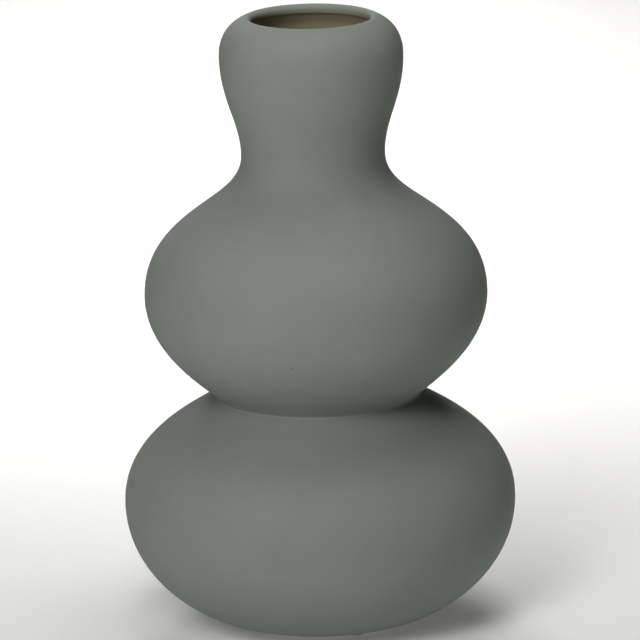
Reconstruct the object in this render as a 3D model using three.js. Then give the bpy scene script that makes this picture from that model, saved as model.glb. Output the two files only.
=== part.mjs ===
// Bubble-shaped flower vase in dolomite ceramic, standing on small round pads.
// Millimetres, +Z up. The origin is on the vase's axis, at the level that the pads stand on.
import * as THREE from "three";

// Overall height, from the floor to the top of the lip
const vaseHeight = 282.4;

// Outside radii of the shell
const lowerBulbRadius = 90;
const creaseRadius = 47;
const middleBulbRadius = 78.5;
const neckRadius = 32.8;
const headRadius = 41.9;
const mouthRadius = 27.2;

// Rises from ring to ring, from the foot up to the middle bulb
const lowerBulbRise = 54.5;
const creaseRise = 50;
const middleBulbRise = 46.9;

// Drops from ring to ring, from the top of the lip down to the neck; the shoulder takes the rest
const headDrop = 17.7;
const neckDrop = 45.9;

// Slopes in degrees from level, where the outline leaves the foot, crease and lip
const footSlope = 6;
const creaseSlopeBelow = 38;
const creaseSlopeAbove = 60;
const lipSlope = 22;

// Fullness: how far the outline keeps its direction on leaving each ring
const footFullness = 18;
const lowerBulbFullnessBelow = 33;
const lowerBulbFullnessAbove = 30.5;
const creaseFullnessBelow = 12;
const creaseFullnessAbove = 6;
const middleBulbFullnessBelow = 26;
const middleBulbFullnessAbove = 38.5;
const neckFullnessBelow = 24;
const neckFullnessAbove = 16;
const headFullnessBelow = 20;
const headFullnessAbove = 12.5;
const lipFullness = 3.5;

// The cast wall, the same thickness all over, and the hollow under the base
const wall = 4.5;
const recessDepth = 1.2;

// Foot ring and the pads stuck to it
const footRadius = 41;
const padRadius = 4;
const padHeight = 2.2;
const padEdgeRadius = 1.1;
const padMargin = 1.2;
const padCount = 4;
const firstPadAngle = -65.2;

// Facets
const shellSides = 60;
const padSides = 24;
const lipSteps = 6;
const creaseSteps = 4;
const padEdgeSteps = 3;

const UP = 90;
const DOWN = -90;
const HALF_TURN = 180;
const FULL_TURN = 360;

const coatedCeramic = new THREE.MeshStandardMaterial({
  color: 0x7d877c,
  roughness: 0.85,
  metalness: 0,
});
const clearPolyurethane = new THREE.MeshStandardMaterial({
  color: 0xdfe2dd,
  roughness: 0.35,
  metalness: 0,
  transparent: true,
  opacity: 0.6,
});

// The point at a distance from another, in the plane of radius (x) and height (y)
function pointAway(from, degrees, distance) {
  const angle = THREE.MathUtils.degToRad(degrees);
  return new THREE.Vector2(
    from.x + distance * Math.cos(angle),
    from.y + distance * Math.sin(angle),
  );
}

// Points on an arc, ends included
function arc(centre, radius, fromDegrees, toDegrees, steps) {
  const points = [];
  for (let i = 0; i <= steps; i++) {
    const degrees = THREE.MathUtils.lerp(fromDegrees, toDegrees, i / steps);
    points.push(pointAway(centre, degrees, radius));
  }
  return points;
}

// One stretch of the outside outline: it leaves each end in a direction, for the end's fullness
function stretch(start, end, outsideSteps, insideSteps) {
  const curve = new THREE.CubicBezierCurve(
    start.at,
    pointAway(start.at, start.direction, start.fullness),
    pointAway(end.at, end.direction, end.fullness),
    end.at,
  );
  return { curve, outsideSteps, insideSteps };
}

// The outside of a stretch, from its lower end to its upper end
function outsideOf({ curve, outsideSteps }) {
  return curve.getPoints(outsideSteps);
}

// The inside of a stretch, from its upper end to its lower end, one wall in from the outside
function insideOf({ curve, insideSteps }) {
  const points = [];
  for (let i = insideSteps; i >= 0; i--) {
    const t = i / insideSteps;
    const point = curve.getPoint(t);
    const tangent = curve.getTangent(t);
    points.push(new THREE.Vector2(point.x - wall * tangent.y, point.y + wall * tangent.x));
  }
  return points;
}

// A closed solid of revolution about Z
function turned(outline, sides) {
  return new THREE.LatheGeometry(outline, sides).rotateX(Math.PI / 2);
}

function makeShell() {
  const footHeight = padHeight;
  const lowerBulbHeight = footHeight + lowerBulbRise;
  const creaseHeight = lowerBulbHeight + creaseRise;
  const middleBulbHeight = creaseHeight + middleBulbRise;
  const headHeight = vaseHeight - headDrop;
  const neckHeight = headHeight - neckDrop;

  const foot = new THREE.Vector2(footRadius, footHeight);
  const lowerBulb = new THREE.Vector2(lowerBulbRadius, lowerBulbHeight);
  const crease = new THREE.Vector2(creaseRadius, creaseHeight);
  const middleBulb = new THREE.Vector2(middleBulbRadius, middleBulbHeight);
  const neck = new THREE.Vector2(neckRadius, neckHeight);
  const head = new THREE.Vector2(headRadius, headHeight);

  // The lip is a full round of the wall's own thickness
  const lipRadius = wall / 2;
  const lipCentre = new THREE.Vector2(mouthRadius + lipRadius, vaseHeight - lipRadius);
  const lipEdge = pointAway(lipCentre, UP - lipSlope, lipRadius);

  const footToLowerBulb = stretch(
    { at: foot, direction: footSlope, fullness: footFullness },
    { at: lowerBulb, direction: DOWN, fullness: lowerBulbFullnessBelow },
    7,
    5,
  );
  const lowerBulbToCrease = stretch(
    { at: lowerBulb, direction: UP, fullness: lowerBulbFullnessAbove },
    { at: crease, direction: -creaseSlopeBelow, fullness: creaseFullnessBelow },
    7,
    4,
  );
  const creaseToMiddleBulb = stretch(
    { at: crease, direction: creaseSlopeAbove, fullness: creaseFullnessAbove },
    { at: middleBulb, direction: DOWN, fullness: middleBulbFullnessBelow },
    6,
    4,
  );
  const middleBulbToNeck = stretch(
    { at: middleBulb, direction: UP, fullness: middleBulbFullnessAbove },
    { at: neck, direction: DOWN, fullness: neckFullnessBelow },
    8,
    5,
  );
  const neckToHead = stretch(
    { at: neck, direction: UP, fullness: neckFullnessAbove },
    { at: head, direction: DOWN, fullness: headFullnessBelow },
    6,
    4,
  );
  const headToLip = stretch(
    { at: head, direction: UP, fullness: headFullnessAbove },
    { at: lipEdge, direction: -lipSlope, fullness: lipFullness },
    5,
    3,
  );

  // The foot ring is just wide enough for the pads, and the base inside it is drawn up
  const ringWidth = 2 * (padRadius + padMargin);
  const recessRadius = footRadius - ringWidth;
  const recessHeight = footHeight + recessDepth;
  // The floor's step stands out from the recess's, because both slope at 45 degrees
  const floorShift = wall * Math.tan(Math.PI / 8);

  const outline = [
    new THREE.Vector2(0, recessHeight),
    new THREE.Vector2(recessRadius - recessDepth, recessHeight),
    new THREE.Vector2(recessRadius, footHeight),
    ...outsideOf(footToLowerBulb),
    ...outsideOf(lowerBulbToCrease).slice(1),
    ...outsideOf(creaseToMiddleBulb).slice(1),
    ...outsideOf(middleBulbToNeck).slice(1),
    ...outsideOf(neckToHead).slice(1),
    ...outsideOf(headToLip).slice(1, -1),
    ...arc(lipCentre, lipRadius, UP - lipSlope, UP - lipSlope + HALF_TURN, lipSteps),
    ...insideOf(headToLip).slice(1),
    ...insideOf(neckToHead).slice(1),
    ...insideOf(middleBulbToNeck).slice(1),
    ...insideOf(creaseToMiddleBulb).slice(1, -1),
    ...arc(crease, wall, UP + creaseSlopeAbove, UP + HALF_TURN - creaseSlopeBelow, creaseSteps),
    ...insideOf(lowerBulbToCrease).slice(1),
    ...insideOf(footToLowerBulb).slice(1),
    new THREE.Vector2(recessRadius + floorShift, footHeight + wall),
    new THREE.Vector2(recessRadius - recessDepth + floorShift, recessHeight + wall),
    new THREE.Vector2(0, recessHeight + wall),
  ];
  const shell = new THREE.Mesh(turned(outline, shellSides), coatedCeramic);
  shell.name = "vase_body";
  return shell;
}

// A low round pad with a flat tread, a rounded lower edge and a flat back for its adhesive
function makePad(number) {
  const edgeCentre = new THREE.Vector2(padRadius - padEdgeRadius, padEdgeRadius);
  const outline = [
    new THREE.Vector2(0, 0),
    ...arc(edgeCentre, padEdgeRadius, DOWN, 0, padEdgeSteps),
    new THREE.Vector2(padRadius, padHeight),
    new THREE.Vector2(0, padHeight),
  ];
  const pad = new THREE.Mesh(turned(outline, padSides), clearPolyurethane);
  const distance = footRadius - padMargin - padRadius;
  const angle = THREE.MathUtils.degToRad(firstPadAngle + (FULL_TURN * (number - 1)) / padCount);
  pad.position.set(distance * Math.cos(angle), distance * Math.sin(angle), 0);
  pad.name = `foot_pad_${number}`;
  return pad;
}

const vase = new THREE.Group();
vase.name = "dolomite_vase";
vase.add(makeShell());
for (let number = 1; number <= padCount; number++) {
  vase.add(makePad(number));
}

export default vase;
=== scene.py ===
import math

import bpy
from mathutils import Matrix, Vector


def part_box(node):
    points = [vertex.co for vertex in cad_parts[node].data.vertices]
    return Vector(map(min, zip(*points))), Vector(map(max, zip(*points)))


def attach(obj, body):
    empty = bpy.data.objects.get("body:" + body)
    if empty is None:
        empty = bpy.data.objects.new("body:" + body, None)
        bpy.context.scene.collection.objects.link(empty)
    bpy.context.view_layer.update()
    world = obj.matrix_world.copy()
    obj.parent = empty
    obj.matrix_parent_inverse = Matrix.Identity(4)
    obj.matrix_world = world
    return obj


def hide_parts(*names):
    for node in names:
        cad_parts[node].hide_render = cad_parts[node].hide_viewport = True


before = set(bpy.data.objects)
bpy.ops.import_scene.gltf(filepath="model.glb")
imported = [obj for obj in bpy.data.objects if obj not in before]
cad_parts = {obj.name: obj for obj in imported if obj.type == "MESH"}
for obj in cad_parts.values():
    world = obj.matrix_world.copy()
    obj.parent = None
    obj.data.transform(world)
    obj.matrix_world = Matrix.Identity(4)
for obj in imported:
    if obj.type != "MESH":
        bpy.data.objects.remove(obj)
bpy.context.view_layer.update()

# Shell
# The shell is slip-cast in one piece in dolomite ceramic: the slip dries to an even wall against a
# plaster mould, so the inside follows the outside. The cut mouth is sponged to a full round, and the
# base stands on a sanded foot ring, inside which it is drawn up a little.
MM = 0.001
UP = 90.0
DOWN = -90.0
HALF_TURN = 180.0

# Radii of the rings from the foot to the mouth, in millimetres
shell_low, shell_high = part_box("vase_body")
foot_radius = 41.0
lower_bulb_radius = shell_high.x / MM
crease_radius = 47.0
middle_bulb_radius = 78.5
neck_radius = 32.8
head_radius = 41.9
mouth_radius = 27.2

# Rises from ring to ring up from the foot, and drops down from the top of the lip
lower_bulb_rise = 54.5
crease_rise = 50.0
middle_bulb_rise = 46.9
head_drop = 17.7
neck_drop = 45.9
foot_height = shell_low.z / MM
lower_bulb_height = foot_height + lower_bulb_rise
crease_height = lower_bulb_height + crease_rise
middle_bulb_height = crease_height + middle_bulb_rise
top_height = shell_high.z / MM
head_height = top_height - head_drop
neck_height = head_height - neck_drop

# Slopes in degrees from level, where the outline leaves the foot, the crease and the lip
foot_slope = 6.0
crease_slope_below = 38.0
crease_slope_above = 60.0
lip_slope = 22.0

# Fullness: how far the outline keeps its direction on leaving each ring
foot_fullness = 18.0
lower_bulb_fullness_below = 33.0
lower_bulb_fullness_above = 30.5
crease_fullness_below = 12.0
crease_fullness_above = 6.0
middle_bulb_fullness_below = 26.0
middle_bulb_fullness_above = 38.5
neck_fullness_below = 24.0
neck_fullness_above = 16.0
head_fullness_below = 20.0
head_fullness_above = 12.5
lip_fullness = 3.5

wall = 4.5
ring_width = 10.4
recess_depth = 1.2
sponged_edge = 0.6
shell_sides = 144


def away(point, degrees, distance):
    """The point at a distance from another, in the plane of radius and height."""
    angle = math.radians(degrees)
    return (point[0] + distance * math.cos(angle), point[1] + distance * math.sin(angle))


def arc(centre, radius, start, end, steps):
    """Points on an arc, ends included."""
    return [away(centre, start + (end - start) * i / steps, radius) for i in range(steps + 1)]


def level(start, end, height, steps):
    """Points on a level line, ends included."""
    return [(start + (end - start) * i / steps, height) for i in range(steps + 1)]


def swell(start, end, steps):
    """One swell of the outside from ring to ring, and the cast face one wall inside it. Each end is
    a point, the direction in which the outline leaves it, and its fullness."""
    points = (start[0], away(*start), away(*end), end[0])
    outside = []
    inside = []
    for i in range(steps + 1):
        t = i / steps
        left = 1 - t
        # A cubic Bezier curve: the share of each point, and a third of how fast that share changes
        shares = (left**3, 3 * left**2 * t, 3 * left * t * t, t**3)
        slopes = (-(left**2), left * (1 - 3 * t), t * (2 - 3 * t), t * t)
        r, z = (sum(s * p[axis] for s, p in zip(shares, points)) for axis in (0, 1))
        dr, dz = (sum(s * p[axis] for s, p in zip(slopes, points)) for axis in (0, 1))
        run = math.hypot(dr, dz)
        outside.append((r, z))
        inside.append((r - wall * dz / run, z + wall * dr / run))
    return outside, inside


def distances_along(outline):
    """How far each point of an outline is from its first, in millimetres."""
    so_far = [0.0]
    for a, b in zip(outline, outline[1:]):
        so_far.append(so_far[-1] + math.dist(a, b))
    return so_far


def turned(name, outline, sides, marks):
    """A closed mesh of revolution about Z. The outline is in millimetres and runs from axis to axis.
    Each mark is a number per point of the outline, which the material can read."""
    rings = outline[1:-1]
    points = [(0, 0, outline[0][1] * MM)]
    for r, z in rings:
        for side in range(sides):
            angle = math.tau * side / sides
            points.append((r * MM * math.cos(angle), r * MM * math.sin(angle), z * MM))
    points.append((0, 0, outline[-1][1] * MM))
    top_ring = 1 + (len(rings) - 1) * sides
    faces = []
    for side in range(sides):
        after = (side + 1) % sides
        faces.append((0, 1 + after, 1 + side))
        for ring in range(len(rings) - 1):
            near = 1 + ring * sides
            far = near + sides
            faces.append((near + side, near + after, far + after, far + side))
        faces.append((top_ring + side, top_ring + after, len(points) - 1))
    mesh = bpy.data.meshes.new(name)
    mesh.from_pydata(points, [], faces)
    mesh.polygons.foreach_set("use_smooth", [True] * len(mesh.polygons))
    for mark, values in marks.items():
        spread = [values[0]] + [v for v in values[1:-1] for _ in range(sides)] + [values[-1]]
        mesh.attributes.new(mark, "FLOAT", "POINT").data.foreach_set("value", spread)
    piece = bpy.data.objects.new(name, mesh)
    bpy.context.scene.collection.objects.link(piece)
    return piece


foot = (foot_radius, foot_height)
lower_bulb = (lower_bulb_radius, lower_bulb_height)
crease = (crease_radius, crease_height)
middle_bulb = (middle_bulb_radius, middle_bulb_height)
neck = (neck_radius, neck_height)
head = (head_radius, head_height)
lip_round = wall / 2
lip_centre = (mouth_radius + lip_round, top_height - lip_round)
lip_edge = away(lip_centre, UP - lip_slope, lip_round)

swells = (
    swell(
        (foot, foot_slope, foot_fullness),
        (lower_bulb, DOWN, lower_bulb_fullness_below),
        steps=36,
    ),
    swell(
        (lower_bulb, UP, lower_bulb_fullness_above),
        (crease, -crease_slope_below, crease_fullness_below),
        steps=40,
    ),
    swell(
        (crease, crease_slope_above, crease_fullness_above),
        (middle_bulb, DOWN, middle_bulb_fullness_below),
        steps=30,
    ),
    swell(
        (middle_bulb, UP, middle_bulb_fullness_above),
        (neck, DOWN, neck_fullness_below),
        steps=36,
    ),
    swell((neck, UP, neck_fullness_above), (head, DOWN, head_fullness_below), steps=24),
    swell((head, UP, head_fullness_above), (lip_edge, -lip_slope, lip_fullness), steps=16),
)

# The underside, from the axis to the foot's edge: the recess, its sponged step and the foot ring
recess_radius = foot_radius - ring_width
recess_height = foot_height + recess_depth
ring_edge = (recess_radius, foot_height + sponged_edge)
under = level(0.0, recess_radius - recess_depth, recess_height, steps=8)
under += arc(ring_edge, sponged_edge, HALF_TURN, HALF_TURN + UP, steps=4)
under += level(recess_radius, foot_radius, foot_height, steps=6)[1:]

outside = [point for swollen, _ in swells for point in swollen[:-1]]
lip = arc(lip_centre, lip_round, UP - lip_slope, UP - lip_slope + HALF_TURN, steps=20)

# The inside, from the lip down to the axis. At the crease the cast wall rounds itself off.
inside = []
for _, cast_face in swells[:1:-1]:
    inside += cast_face[::-1][1:]
crease_arc_end = UP + HALF_TURN - crease_slope_below
inside += arc(crease, wall, UP + crease_slope_above, crease_arc_end, steps=10)[1:]
for _, cast_face in swells[1::-1]:
    inside += cast_face[::-1][1:]
# The floor's step stands out from the recess's, because both slope at 45 degrees
step_shift = wall * math.tan(math.pi / 8)
floor_edge = recess_radius - recess_depth + step_shift
inside += [(recess_radius + step_shift, foot_height + wall)]
inside += level(floor_edge, 0.0, recess_height + wall, steps=6)

outline = under + outside[1:] + lip + inside
along = distances_along(outline)
foot_edge_along = along[len(under) - 1]
lip_edge_along = along[len(under) + len(outside) - 1]
shell = turned(
    "vase_body_shell",
    outline,
    shell_sides,
    {
        "past_lip_edge": [max(0.0, d - lip_edge_along) for d in along],
        "in_from_foot_edge": [max(0.0, foot_edge_along - d) for d in along],
    },
)


def linear(colour):
    """An sRGB hex colour as linear red, green, blue and alpha."""
    parts = [int(colour[i : i + 2], 16) / 255 for i in (1, 3, 5)]
    return [c / 12.92 if c <= 0.04045 else ((c + 0.055) / 1.055) ** 2.4 for c in parts] + [1.0]


def feed(tree, node, inputs):
    """Give each input of a node a value, or the socket that feeds it."""
    for name, value in inputs.items():
        if isinstance(value, bpy.types.NodeSocket):
            tree.links.new(value, node.inputs[name])
        else:
            node.inputs[name].default_value = value


def add(tree, kind, inputs, **settings):
    """Add a node with its settings, and feed its inputs."""
    node = tree.nodes.new(kind)
    for name, value in settings.items():
        setattr(node, name, value)
    feed(tree, node, inputs)
    return node


def start_material(name):
    """A new material, its node tree, its shader, and the socket that tells where a point is."""
    material = bpy.data.materials.new(name)
    material.use_nodes = True
    tree = material.node_tree
    place = add(tree, "ShaderNodeTexCoord", {}).outputs["Object"]
    return material, tree, tree.nodes["Principled BSDF"], place


def noise(tree, place, size, detail):
    """Noise from 0 to 1, whose blotches have about the size given."""
    inputs = {"Vector": place, "Scale": 1 / size, "Detail": detail}
    return add(tree, "ShaderNodeTexNoise", inputs).outputs["Fac"]


def ramp(tree, value, start, end, low, high, curve="LINEAR"):
    """A number that goes from low to high while the value goes from start to end."""
    inputs = {"Value": value, "From Min": start, "From Max": end, "To Min": low, "To Max": high}
    return add(tree, "ShaderNodeMapRange", inputs, interpolation_type=curve).outputs[0]


def calculate(tree, operation, *numbers):
    """The result of an operation on numbers, each a value or a socket."""
    return add(tree, "ShaderNodeMath", dict(enumerate(numbers)), operation=operation).outputs[0]


def mix_numbers(tree, factor, first, second):
    """A number between two. Sockets 2 and 3 of a mix node take numbers."""
    return add(tree, "ShaderNodeMix", {"Factor": factor, 2: first, 3: second}).outputs[0]


def mix_colours(tree, factor, first, second, how="MIX"):
    """A colour between two, each an sRGB hex or a socket. Sockets 6 and 7 of a mix node take them."""
    first, second = (linear(c) if isinstance(c, str) else c for c in (first, second))
    inputs = {"Factor": factor, 6: first, 7: second}
    node = add(tree, "ShaderNodeMix", inputs, data_type="RGBA", blend_type=how)
    return node.outputs[2]


# Cast dolomite, sprayed outside with a matt acrylic coat and glazed clear inside. The coat gives the
# eye an even, chalky grey-green without a highlight, and its overspray fades out just inside the
# lip, where the glaze lets the warm cream body show. The foot ring is sanded back to the bare body.
coat_on_dolomite, tree, shader, place = start_material("matt_sprayed_coat_on_cast_dolomite")
past_lip_edge = add(tree, "ShaderNodeAttribute", {}, attribute_name="past_lip_edge").outputs["Fac"]
in_from_foot = add(tree, "ShaderNodeAttribute", {}, attribute_name="in_from_foot_edge").outputs["Fac"]

# Passes of the spray gun lie about 25 mm apart and leave faint clouds in the colour
clouds = noise(tree, place, size=25 * MM, detail=2.0)
coat_colour = mix_colours(tree, clouds, "#7c867b", "#868e85")

# Droplets of the coat are about 0.1 mm across, drawn 0.5 mm across to show
droplets = noise(tree, place, size=0.5 * MM, detail=2.0)
droplet_shade = ramp(tree, droplets, 0.2, 0.8, 0.97, 1.03)
coat_colour = mix_colours(tree, 1.0, coat_colour, droplet_shade, how="MULTIPLY")

# Pinholes in the cast body show through the coat as dark specks, under a millimetre across. Each is
# at an azimuth in degrees and a height in millimetres.
pinholes = ((-98.6, 137.0), (24.0, 71.0), (71.0, 176.0), (118.0, 44.0), (152.0, 236.0))


def on_shell(azimuth, height):
    """The place on the outside at an azimuth in degrees and a height in millimetres."""
    near = min(outside, key=lambda point: abs(point[1] - height))
    angle = math.radians(azimuth)
    return Vector((near[0] * math.cos(angle), near[0] * math.sin(angle), near[1])) * MM


# The distance to the nearest pinhole starts out at a metre, which is beyond any of them
to_pinhole = 1.0
for azimuth, height in pinholes:
    inputs = {0: place, 1: on_shell(azimuth, height)}
    distance = add(tree, "ShaderNodeVectorMath", inputs, operation="DISTANCE").outputs["Value"]
    to_pinhole = calculate(tree, "MINIMUM", to_pinhole, distance)
pinhole = ramp(tree, to_pinhole, 0.2 * MM, 0.9 * MM, 1.0, 0.0)
coat_colour = mix_colours(tree, pinhole, coat_colour, "#656d63")

# Clear glaze on the cream body, with the uneven tone of a poured glaze
pour = noise(tree, place, size=9 * MM, detail=3.0)
glaze_colour = mix_colours(tree, pour, "#8c8064", "#a69b80")

# The overspray thins from the lip's outer edge inwards, and ends unevenly. Where it is thin the
# gloss of the glaze comes through.
overspray_reach = 17.0
overspray_wander = 2.0
overspray_ends = calculate(tree, "MULTIPLY_ADD", clouds, overspray_wander, past_lip_edge)
overspray_thins = ramp(tree, overspray_ends, 0.0, overspray_reach, 0.0, 1.0, curve="SMOOTHSTEP")
glazed = ramp(tree, overspray_ends, 7.0, 18.0, 0.0, 1.0, curve="SMOOTHSTEP")
colour = mix_colours(tree, overspray_thins, coat_colour, glaze_colour)

# A pale band between the glaze and the coat, from some 6 mm to 13 mm in, is painted light: it lightens
# the shade that falls on the inside just under the lip's overhang
painted_light_from = ramp(tree, past_lip_edge, 4.5, 7.5, 0.0, 0.9, curve="SMOOTHSTEP")
painted_light_to = ramp(tree, past_lip_edge, 9.5, 15.5, 1.0, 0.0, curve="SMOOTHSTEP")
painted_light_band = calculate(tree, "MULTIPLY", painted_light_from, painted_light_to)
# Painted light: the pale band is mixed in over the shaded surfaces under the lip
colour = mix_colours(tree, painted_light_band, colour, "#c9c4b3")

# The bare body on the foot ring, sanded with a grit of about 0.3 mm
sanding = noise(tree, place, size=0.3 * MM, detail=3.0)
bare_colour = mix_colours(tree, sanding, "#cdbfa9", "#e2d8c8")
bare_from = ramp(tree, in_from_foot, 0.3, 1.2, 0.0, 1.0)
bare_to = ramp(tree, in_from_foot, ring_width - 0.4, ring_width + 1.4, 1.0, 0.0)
bare = calculate(tree, "MULTIPLY", bare_from, bare_to)
colour = mix_colours(tree, bare, colour, bare_colour)

coat_roughness = ramp(tree, clouds, 0.3, 0.7, 0.76, 0.84)
glaze_roughness = 0.35
bare_roughness = 0.92
roughness = mix_numbers(tree, glazed, coat_roughness, glaze_roughness)
roughness = mix_numbers(tree, bare, roughness, bare_roughness)

# Relief in millimetres: the coat's orange peel 1.2 mm from crest to crest, its droplets, the slow
# unevenness that the sponge leaves on the cast wall, and the pinholes
peel = noise(tree, place, size=1.2 * MM, detail=1.0)
relief = 0.0
for form, height in ((peel, 0.006), (droplets, 0.004), (clouds, 0.05), (pinhole, -0.06)):
    relief = calculate(tree, "MULTIPLY_ADD", form, height, relief)
normal = add(tree, "ShaderNodeBump", {"Height": relief, "Distance": MM}).outputs["Normal"]

# The coat is acrylic, with an IOR of 1.49, but its chalky top scatters half of the mirrored light
feed(
    tree,
    shader,
    {
        "Base Color": colour,
        "Roughness": roughness,
        "IOR": 1.49,
        "Specular IOR Level": 0.25,
        "Coat Weight": glazed,
        "Coat Roughness": 0.08,
        "Coat IOR": 1.5,
        "Normal": normal,
    },
)

shell.data.materials.append(coat_on_dolomite)
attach(shell, "root")
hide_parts("vase_body")

# Pads
# Four low round pads of clear cast polyurethane keep the foot ring off the table. Each is poured as a
# drop on a film of acrylic adhesive, so its lower edge is round and its back is flat, and it is
# pressed on by hand.
pad_count = 4
pad_edge_radius = 1.1
film_thickness = 0.12
film_inset = 0.25
pad_sides = 48

# Cast polyurethane, left as poured: a soft gloss on a half clear, milky resin
clear_polyurethane, tree, shader, place = start_material("clear_cast_polyurethane")
haze = noise(tree, place, size=1.5 * MM, detail=2.0)
ripple = add(tree, "ShaderNodeBump", {"Height": haze, "Distance": 0.01 * MM}).outputs["Normal"]
feed(
    tree,
    shader,
    {
        "Base Color": mix_colours(tree, haze, "#e6e9e4", "#f3f5f0"),
        "Roughness": ramp(tree, haze, 0.3, 0.7, 0.18, 0.3),
        "IOR": 1.5,
        "Transmission Weight": 0.35,
        "Normal": ripple,
    },
)

# Acrylic adhesive film: milky where it has wetted the sanded ring unevenly
adhesive, tree, shader, place = start_material("milky_acrylic_adhesive_film")
cells = {"Vector": place, "Scale": 1 / (0.9 * MM)}
wetting = add(tree, "ShaderNodeTexVoronoi", cells).outputs["Distance"]
feed(
    tree,
    shader,
    {
        "Base Color": mix_colours(tree, wetting, "#dcd8cd", "#f1eee6"),
        "Roughness": ramp(tree, wetting, 0.0, 1.0, 0.4, 0.6),
        "IOR": 1.47,
        "Transmission Weight": 0.4,
    },
)

for number in range(1, pad_count + 1):
    node = f"foot_pad_{number}"
    pad_low, pad_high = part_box(node)
    pad_radius = (pad_high.x - pad_low.x) / 2 / MM
    pad_height = (pad_high.z - pad_low.z) / MM
    resin_height = pad_height - film_thickness
    film_radius = pad_radius - film_inset
    stand = Matrix.Translation(((pad_low.x + pad_high.x) / 2, (pad_low.y + pad_high.y) / 2, pad_low.z))

    edge_centre = (pad_radius - pad_edge_radius, pad_edge_radius)
    back_edge_centre = (film_radius, resin_height - film_inset)
    resin = level(0.0, edge_centre[0], 0.0, steps=3)[:-1]
    resin += arc(edge_centre, pad_edge_radius, DOWN, 0, steps=10)
    resin += arc(back_edge_centre, film_inset, 0, UP, steps=4)
    resin += [(0.0, resin_height)]
    bumper = turned(f"{node}_bumper", resin, pad_sides, {})
    bumper.data.materials.append(clear_polyurethane)

    film = level(0.0, film_radius, resin_height, steps=3)
    film += level(film_radius, 0.0, pad_height, steps=3)
    film_disc = turned(f"{node}_adhesive_film", film, pad_sides, {})
    film_disc.data.materials.append(adhesive)

    for piece in (bumper, film_disc):
        piece.data.transform(stand)
        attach(piece, "root")
        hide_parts(node)

# Floor
# A plain pale table of opal acrylic, sanded matt and lit softly from beneath so that shadows stay
# light. It isn't part of the vase.
table_side = 12.0
opal_acrylic, tree, shader, place = start_material("sanded_opal_acrylic")
sanded = noise(tree, place, size=4 * MM, detail=3.0)
feed(
    tree,
    shader,
    {
        "Base Color": mix_colours(tree, sanded, "#efeeeb", "#f2f1ee"),
        "Roughness": 0.95,
        "Emission Color": linear("#fffdf8"),
        "Emission Strength": 0.1,
    },
)
half = table_side / 2
table_mesh = bpy.data.meshes.new("studio_floor")
table_mesh.from_pydata(
    [(-half, -half, 0), (half, -half, 0), (half, half, 0), (-half, half, 0)], [], [(0, 1, 2, 3)]
)
table_mesh.materials.append(opal_acrylic)
table = bpy.data.objects.new("studio_floor", table_mesh)
bpy.context.scene.collection.objects.link(table)

# Light
# Soft boxes stand round the vase, and a strip light hangs behind it and shines on the table there,
# which keeps the background white. Distances and sides are in metres.
lit_point = Vector((0, 0, 0.15))
soft_boxes = (
    # name, degrees round to the right from the camera, degrees up from level, distance, side, watts
    ("key_left", -25, 28, 1.6, 0.6, 9.2),
    ("key_front", -15, 36, 0.8, 0.3, 1.5),
    ("top", 0, 88, 0.65, 0.3, 0.77),
    ("side_right", 110, 72, 0.9, 0.4, 1.5),
    ("back", 190, 28, 1.6, 0.6, 7.0),
)
strip_hangs_at = Vector((0, 1.0, 1.0))
strip_shines_on = Vector((0, 1.0, 0))
strip_size = (0.7, 1.6)
strip_watts = 2.6
strip_spread = 40
open_spread = 180


def soft_box(name, location, target, size, watts, spread):
    """An area light of width by length in metres, aimed at a point, that spreads by degrees."""
    lamp = bpy.data.lights.new(name, "AREA")
    lamp.shape = "RECTANGLE"
    lamp.size, lamp.size_y = size
    lamp.energy = watts
    lamp.spread = math.radians(spread)
    stand = bpy.data.objects.new(name, lamp)
    stand.location = location
    stand.rotation_euler = (location - target).to_track_quat("Z", "Y").to_euler()
    stand.visible_camera = False
    bpy.context.scene.collection.objects.link(stand)


for name, degrees_round, degrees_up, distance, side, watts in soft_boxes:
    a = math.radians(degrees_round)
    e = math.radians(degrees_up)
    towards = Vector((math.sin(a) * math.cos(e), -math.cos(a) * math.cos(e), math.sin(e)))
    location = lit_point + towards * distance
    soft_box(name, location, lit_point, (side, side), watts, open_spread)
soft_box("backdrop", strip_hangs_at, strip_shines_on, strip_size, strip_watts, strip_spread)

world = bpy.data.worlds.new("studio")
bpy.context.scene.world = world
world.use_nodes = True
feed(world.node_tree, world.node_tree.nodes["Background"], {"Color": (1, 1, 1, 1), "Strength": 0.0})

# Camera
# A long lens, looking down at the vase from a little above level, as the photograph was taken. Its
# aim is the point on the vase's axis that the photograph shows at aim_in_photo.
PHOTO_SIDE = 640
camera_up_by = math.radians(14.08)
camera_lean = math.radians(1.2)
camera_distance = 2.7474
aim = Vector((0, 0, 0.1487))
aim_in_photo = (316.18, 302.68)
lens = bpy.data.cameras.new("studio_camera")
lens.sensor_width = 36.0
lens.lens = 337.5
lens.clip_start = 0.1
lens.clip_end = 50.0
lens.shift_x = (PHOTO_SIDE / 2 - aim_in_photo[0]) / PHOTO_SIDE
lens.shift_y = (aim_in_photo[1] - PHOTO_SIDE / 2) / PHOTO_SIDE
back = Vector((0, -math.cos(camera_up_by), math.sin(camera_up_by)))
level_turn = (-back).to_track_quat("-Z", "Y").to_matrix()
camera = bpy.data.objects.new("studio_camera", lens)
camera.location = aim + back * camera_distance
camera.rotation_euler = (level_turn @ Matrix.Rotation(-camera_lean, 3, "Z")).to_euler()
bpy.context.scene.collection.objects.link(camera)
bpy.context.scene.camera = camera
bpy.context.scene.view_settings.view_transform = "Standard"
